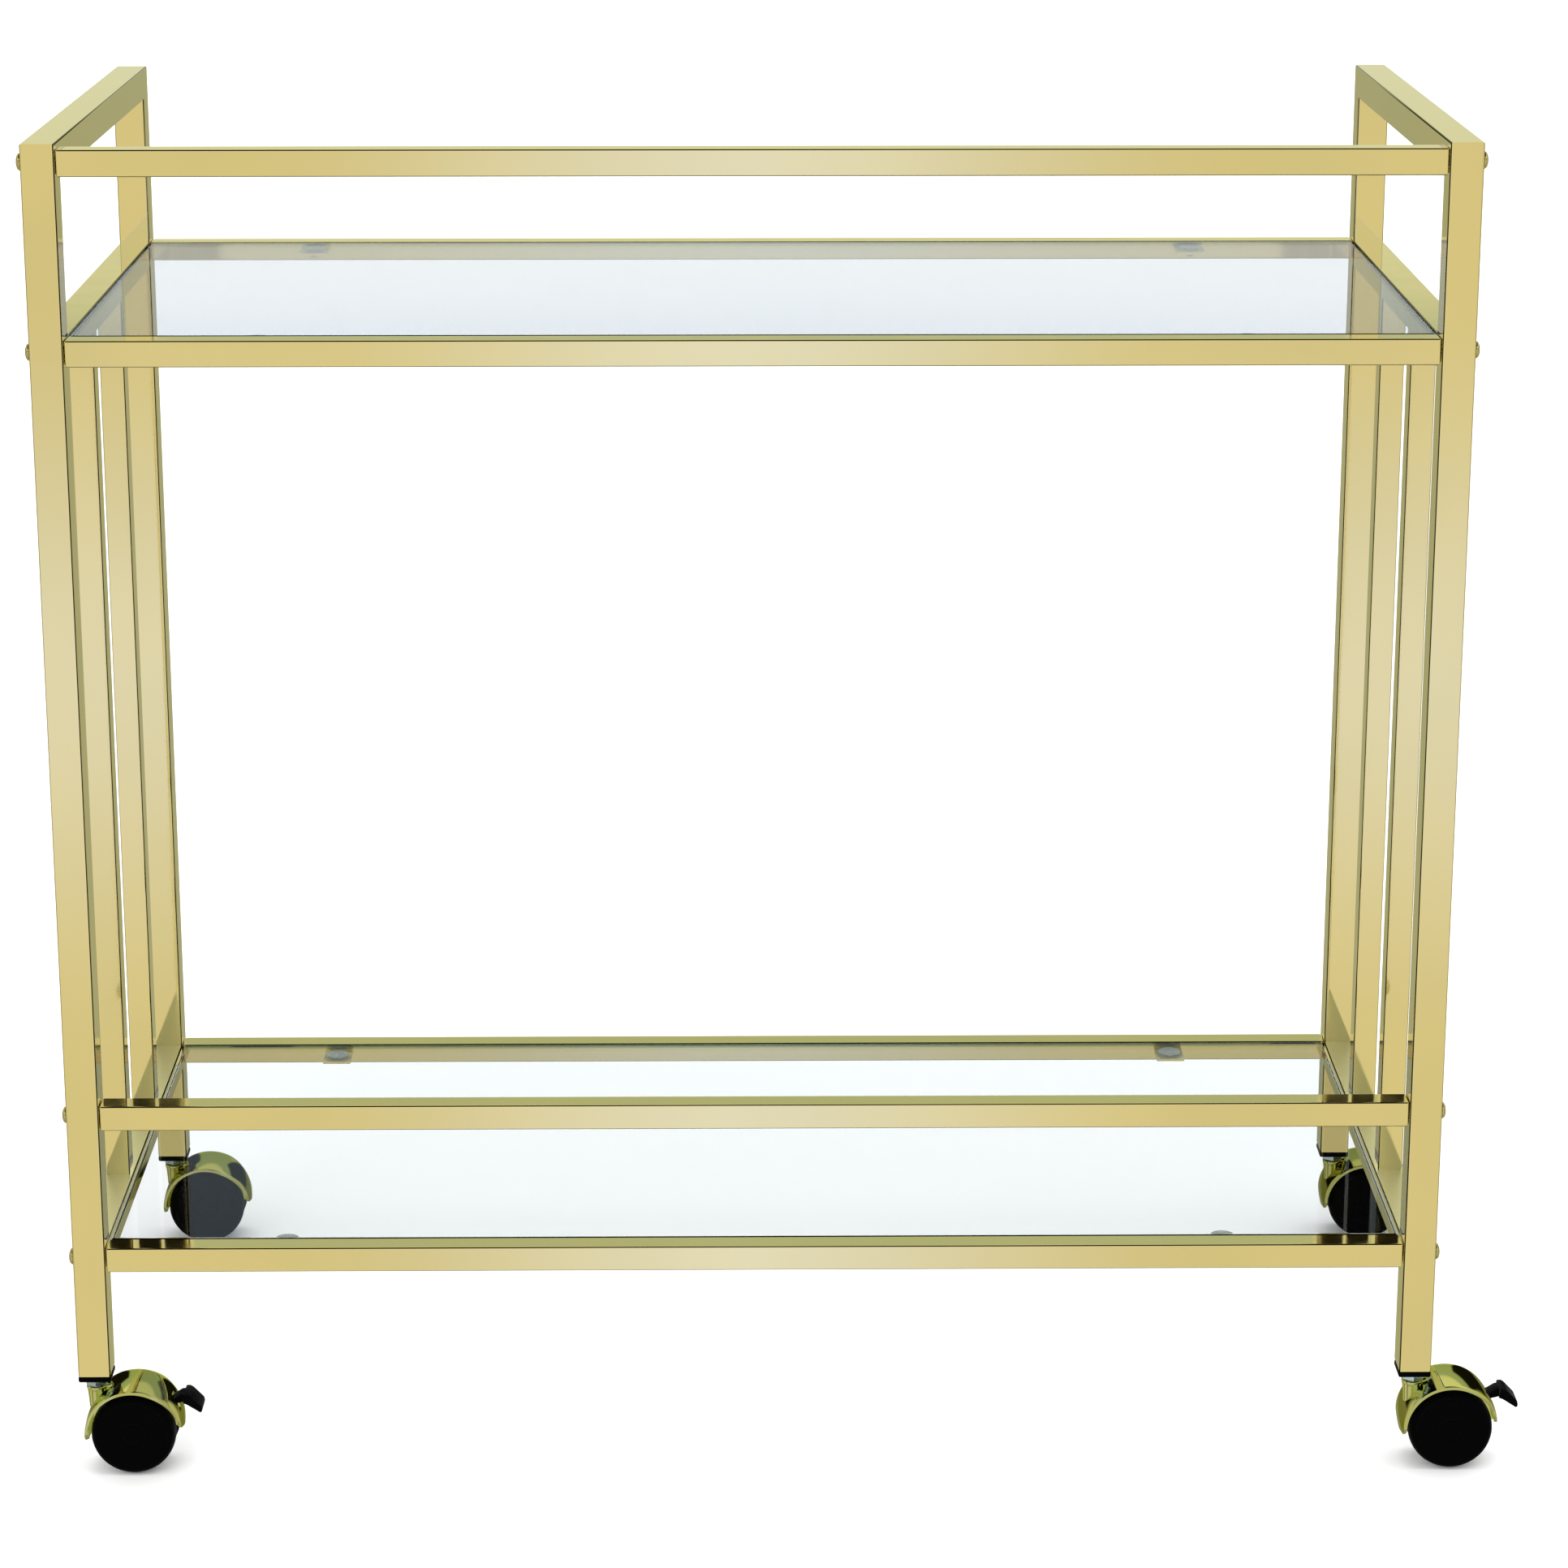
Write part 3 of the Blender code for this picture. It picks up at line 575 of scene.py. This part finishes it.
def lever_piece():
    """A thin arm round the pivot, a wider neck through the hood's slot, and a bent paddle."""
    arm_side = millimetres([(11.8, 14.0), (12.4, 12.2), (13.8, 11.1), (15.6, 10.9), (25.6, 15.2),
                            (25.6, 18.8), (15.0, 17.2), (12.8, 16.3)])
    neck_side = millimetres([(22.8, 15.0), (30.0, 16.8), (33.0, 18.8), (31.5, 21.8), (27.8, 21.4),
                             (24.8, 19.5), (22.2, 18.0)])
    paddle_side = millimetres([(29.2, 16.8), (31.4, 16.0), (39.2, 10.9), (40.2, 11.3), (40.5, 12.6),
                               (40.0, 14.8), (34.0, 21.2), (32.2, 22.3), (29.8, 22.2)])
    arm = prism("arm", arm_side, 0.0017, BLACK)
    neck = prism("neck", neck_side, 0.0045)
    paddle = prism("paddle", paddle_side, 0.0072)
    combine(arm, "UNION", neck, paddle)
    round_edges(arm, 0.0006, 3, 35)
    return settle(arm, neck, paddle)


def joined(name, *objects):
    """One mesh of several, which overlap as a casting's parts do."""
    bm = bmesh.new()
    for obj in objects:
        bm.from_mesh(obj.data)
    casting = object_of(name, bm, objects[0].data.materials[0])
    casting.data.shade_smooth()
    casting.data.set_sharp_from_angle(angle=radians(35))
    return casting


def hub_piece():
    """A ring round the axle, between the wheels."""
    profile = millimetres([(3.3, 3.1), (7.2, 3.1), (7.5, 2.8), (7.5, -2.8), (7.2, -3.1), (3.3, -3.1),
                           (3.3, 3.1)])
    hub = lathe("hub", profile, 48, CASTER_GOLD)
    hub.data.transform(ALONG_Y)
    return settle(hub)


boss, rib, hub = boss_piece(), rib_piece(), hub_piece()
BODY = {}
for braked in (True, False):
    hood, web = hood_piece(braked), web_piece(braked)
    BODY[braked] = joined("caster_casting", hood, web, boss, rib, hub)
    bpy.data.objects.remove(hood)
    bpy.data.objects.remove(web)
for helper in (boss, rib, hub):
    bpy.data.objects.remove(helper)
LEVER = lever_piece()

for end, side in CORNERS:
    corner = f"{end}_{side}"
    centre = Matrix.Translation(middle(f"wheel_axle_{corner}"))
    place(BODY[end == "front"], f"caster_casting_{corner}", centre,
          f"caster_{corner}", "caster_brass_plate", f"caster_body_{corner}")
    if end == "front":
        pedal = place(LEVER, f"brake_pedal_{corner}", centre,
                      f"brake_lever_{corner}", "black_plastic", f"brake_lever_{corner}")
        pedal.visible_glossy = False  # nor this

# ---- Feet of the legs --------------------------------------------------------------------------

LEG_BOTTOM = 0.060
FLANGE, FLANGE_THICK, FLANGE_GAP = 0.0192, 0.0037, 0.0001
PLUG, PLUG_LONG, PLUG_MIDDLE = 0.0158, 0.027, 0.0125  # the last is over the leg's bottom
STEM_HOLE_R, COLLAR_R, COLLAR_DOWN = 0.0043, 0.0073, 0.0028


def foot_piece():
    """Made about a leg's axis: a round-edged flange with a recess for the stem's collar, and a plug above."""
    flange_z = LEG_BOTTOM - FLANGE_GAP - FLANGE_THICK / 2
    foot = block("foot", (FLANGE, FLANGE, FLANGE_THICK), (0, 0, flange_z))
    foot.data.materials.append(BLACK)
    round_edges(foot, 0.0012)
    plug = block("plug", (PLUG, PLUG, PLUG_LONG), (0, 0, LEG_BOTTOM + PLUG_MIDDLE))
    round_edges(plug, 0.0012)
    step, above, below = LEG_BOTTOM - COLLAR_DOWN, LEG_BOTTOM + 0.04, LEG_BOTTOM - 0.01
    bore = lathe("bore", [(0, above), (STEM_HOLE_R, above), (STEM_HOLE_R, step), (COLLAR_R, step),
                          (COLLAR_R, below), (0, below)], 40)
    combine(foot, "UNION", plug)
    combine(foot, "DIFFERENCE", bore)
    return settle(foot, plug, bore)


FOOT = foot_piece()
for end, side in CORNERS:
    cap = f"end_cap_{end}_{side}"
    leg = middle(cap)
    place(FOOT, f"{cap}_foot", Matrix.Translation((leg.x, leg.y, 0)), "frame", "black_plastic", cap)

# ---- Bolts and pads ----------------------------------------------------------------------------

CAD_HEAD_HEIGHT = 0.0022  # the CAD's heads end the bolts' boxes on the outside


def bolt_piece():
    """Domed head with a hex socket, along +Z, its seat at the origin, and the shank below it."""
    dome = [(0, 2.95), (1.6, 2.92), (2.8, 2.78), (3.8, 2.42), (4.5, 1.85), (4.85, 1.15), (4.95, 0.45),
            (4.8, 0)]
    shank = [(3.0, 0), (3.0, -30), (0, -30)]
    head = lathe("bolt", millimetres(dome + shank), 40, BOLT_GOLD_PAINTED_SHADE)
    socket = lathe("socket", millimetres([(0, 5.0), (1.75, 5.0), (1.75, 1.2), (0, 0.9)]), 6)
    combine(head, "DIFFERENCE", socket)
    return settle(head, socket)


def pad_piece():
    """A clear cup with a rolled rim, and its stud, its top at the origin."""
    cup = [(0, -0.5), (3.6, -0.45), (5.6, -0.2), (6.6, 0), (7.2, -0.08), (7.5, -0.5), (7.2, -0.95),
           (6.2, -1.35), (5.2, -1.8), (4.6, -2.3), (4.2, -2.4)]
    stud = [(1.9, -2.4), (1.9, -6.3), (1.6, -6.6), (0, -6.6)]
    return settle(lathe("pad", millimetres(cup + stud), 40, PAD), smooth=60)


BOLT, PAD_SHAPE = bolt_piece(), pad_piece()
for node in list(NODES):
    low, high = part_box(node)
    spot = (low + high) / 2
    if node.startswith("bolt_"):
        sign = 1 if node.endswith("right") else -1
        spot.x = (high.x if sign > 0 else low.x) - sign * CAD_HEAD_HEIGHT
        outwards = Matrix.Translation(spot) @ Matrix.Rotation(sign * pi / 2, 4, "Y")
        place(BOLT, f"{node}_head", outwards, "frame", "polished_brass_plate", node)
    elif node.startswith("glass_pad"):
        spot.z = high.z
        place(PAD_SHAPE, f"{node}_cup", Matrix.Translation(spot), "frame", "clear_soft_pad", node)

for shape in (WHEEL, *BODY.values(), LEVER, FOOT, BOLT, PAD_SHAPE):
    bpy.data.objects.remove(shape)

# ---- Studio ------------------------------------------------------------------------------------


def reflected(graph):
    """1 for a ray that has been mirrored, 0 for what is seen or lit directly."""
    return graph.math("GREATER_THAN", graph.path()["Glossy Depth"], 0.5)


def studio_floor():
    """A pale floor, which reflections don't show: they see the studio's panels in its place."""
    bm = bmesh.new()
    bmesh.ops.create_circle(bm, cap_ends=True, radius=40.0, segments=64)
    material, graph, shader = new_material("studio_floor")
    tone = graph.mix(graph.noise(3.0), (0.90, 0.90, 0.90), (0.92, 0.92, 0.92))
    graph.put(shader.inputs["Base Color"], tone)
    shader.inputs["Roughness"].default_value = 0.9
    shader.inputs["Specular IOR Level"].default_value = 0.0
    unseen = graph.node("ShaderNodeBsdfTransparent")
    graph.put(surface(material), graph.either(reflected(graph), shader, unseen))
    floor = object_of("studio_floor", bm, material)
    floor.location.z = -0.0004


# A panel's limits are sines: of the height over the horizon, and of the way round from front or back
WHITE = (0.95, 0.97, 1.0)
DIM = (0.40, 0.40, 0.38)
DEAD_BLACK = (0.012, 0.012, 0.012)
HORIZON = 0.02, 0.08  # where the front's low panel gives way to the higher ones
INNER_LIFT = 1.32, 1.55, 3.0  # the gain in red, green and blue for each mirroring after the first


def front_low_panel(graph, side, height):
    """In front, below the horizon: warm white, whiter in its middle and at half height, dim underneath."""
    middle_x = graph.fall(side, 0.0, 0.12)
    from_half = graph.math("ABSOLUTE", graph.math("ADD", height, 0.253))
    middle_z = graph.span(from_half, 0.0, 0.09, 0.77, 0.0)
    panel_tone = graph.mix(graph.greater(middle_x, middle_z), (0.92, 0.92, 0.88), (1.06, 1.19, 1.92))
    return graph.mix(graph.span(height, -0.95, -0.6), (0.55, 0.56, 0.55), panel_tone)


def front_panels(graph, side, height, front_low):
    """In front, above the horizon: white low down and far round to the sides, and black between."""
    white = graph.greater(graph.span(side, 0.50, 0.62), graph.fall(height, 0.23, 0.28))
    front_high = graph.mix(white, DEAD_BLACK, WHITE)
    return graph.mix(graph.span(height, *HORIZON), front_low, front_high)


def back_panels(graph, side, height):
    """Behind: a dim panel, brighter over the horizon, a black one each side, dim low down, then white."""
    back = graph.mix(graph.span(height, -0.05, 0.05), (0.56, 0.61, 0.56), (0.98, 1.06, 1.04))
    back = graph.mix(graph.span(height, 0.160, 0.182), back, (0.63, 0.76, 0.84))
    back = graph.mix(graph.span(side, 0.50, 0.56), back, WHITE)
    black = graph.product(graph.span(side, 0.23, 0.27), graph.fall(side, 0.50, 0.56))
    black = graph.product(black, graph.fall(height, 0.30, 0.36))
    return graph.mix(black, back, graph.mix(graph.span(height, -0.15, -0.07), DIM, DEAD_BLACK))


def seen_once(graph, is_back, side, height, front):
    """The whole studio: a dim upright far round to each side, a bright strip overhead, a dark ceiling."""
    around = graph.mix(is_back, front, back_panels(graph, side, height))
    upright = graph.product(graph.span(side, 0.83, 0.85), graph.fall(side, 0.955, 0.965))
    around = graph.mix(upright, around, DIM)
    around = graph.mix(graph.span(height, 0.42, 0.48), around, (1.25, 1.27, 1.25))
    return graph.mix(graph.span(height, 0.62, 0.72), around, (0.10, 0.10, 0.09))


def seen_again(graph, is_back, height, front_low, front, extra):
    """The panels by way of two or more plated faces, lit to make up for the plate's own tone each time."""
    inside = graph.mix(graph.fall(height, 0.315, 0.350), front, WHITE)
    inside = graph.mix(graph.span(height, *HORIZON), front_low, inside)
    inside = graph.mix(is_back, inside, WHITE)
    gains = {axis: graph.math("POWER", gain, extra) for axis, gain in enumerate(INNER_LIFT)}
    lift = graph.node("ShaderNodeCombineXYZ", gains)
    lit = graph.node("ShaderNodeMix", {0: 1.0, 6: inside, 7: lift.outputs[0]}, data_type="RGBA",
                     blend_type="MULTIPLY")
    return lit.outputs[2]


def extra_bounces(graph):
    """How many times a ray has been mirrored after the first, up to 2, and 0 behind glass."""
    path = graph.path()
    extra = graph.math("MINIMUM", graph.math("SUBTRACT", path["Glossy Depth"], 1.0), 2.0)
    return graph.product(extra, graph.math("LESS_THAN", path["Transmission Depth"], 0.5))


def studio_world():
    """White all round for what is lit or seen directly, and a studio of panels for reflections."""
    world = bpy.data.worlds.new("studio")
    bpy.context.scene.world = world
    world.use_nodes = True
    graph = Graph(world.node_tree)
    x, y, height = graph.parts(graph.coords("Generated"))
    wide = graph.math("SQRT", graph.math("ADD", graph.product(x, x), graph.product(y, y)))
    side = graph.math("DIVIDE", graph.math("ABSOLUTE", x), graph.greater(wide, 0.001))
    is_back = graph.math("GREATER_THAN", y, 0.0)
    front_low = front_low_panel(graph, side, height)
    front = front_panels(graph, side, height, front_low)
    once = seen_once(graph, is_back, side, height, front)
    extra = extra_bounces(graph)
    again = seen_again(graph, is_back, height, front_low, front, extra)
    around = graph.mix(graph.math("GREATER_THAN", extra, 0.5), once, again)
    panels = graph.node("ShaderNodeBackground", {"Color": around, "Strength": 1.0})
    plain = graph.node("ShaderNodeBackground", {"Color": (1.0, 1.0, 1.0), "Strength": 1.25})
    output = world.node_tree.nodes["World Output"]
    graph.put(output.inputs["Surface"], graph.either(reflected(graph), plain, panels))


def lamp(data, rotation, location=(0, 0, 0)):
    """A lamp that lights the cart and isn't seen in it."""
    obj = bpy.data.objects.new(data.name, data)
    obj.location = location
    obj.rotation_euler = rotation
    obj.visible_glossy = False
    obj.visible_camera = False
    bpy.context.scene.collection.objects.link(obj)


def front_softbox():
    data = bpy.data.lights.new("front_softbox", "AREA")
    data.shape = "RECTANGLE"
    data.size, data.size_y = 2.5, 1.5
    data.energy = 25
    location, aim = Vector((-1.6, -3.0, 1.8)), Vector((0, 0, 0.4))
    lamp(data, (aim - location).to_track_quat("-Z", "Y").to_euler(), location)


def soft_sun():
    data = bpy.data.lights.new("soft_sun", "SUN")
    data.energy = 1.3
    data.angle = radians(60)
    lamp(data, (radians(-12), radians(10), 0))


def camera():
    """The photo's own viewpoint, a little above the cart's top and looking down on it."""
    data = bpy.data.cameras.new("camera")
    data.lens = 95.4
    data.sensor_width = 36.0
    data.shift_y = -0.05
    data.clip_end = 200.0
    obj = bpy.data.objects.new("camera", data)
    obj.location = (-0.03, -2.45, 1.09)
    obj.rotation_euler = (radians(90 - 15.3), 0, -0.0095)  # 15.3 degrees below level
    bpy.context.scene.collection.objects.link(obj)
    bpy.context.scene.camera = obj


def colour_and_bounces():
    """Plain colours, and enough bounces for glass in front of plate."""
    scene = bpy.context.scene
    scene.view_settings.view_transform = "Standard"
    scene.view_settings.look = "None"
    scene.cycles.max_bounces = 16
    scene.cycles.transmission_bounces = 16
    scene.cycles.transparent_max_bounces = 16
    scene.cycles.glossy_bounces = 8


studio_floor()
studio_world()
soft_sun()
front_softbox()
camera()
colour_and_bounces()
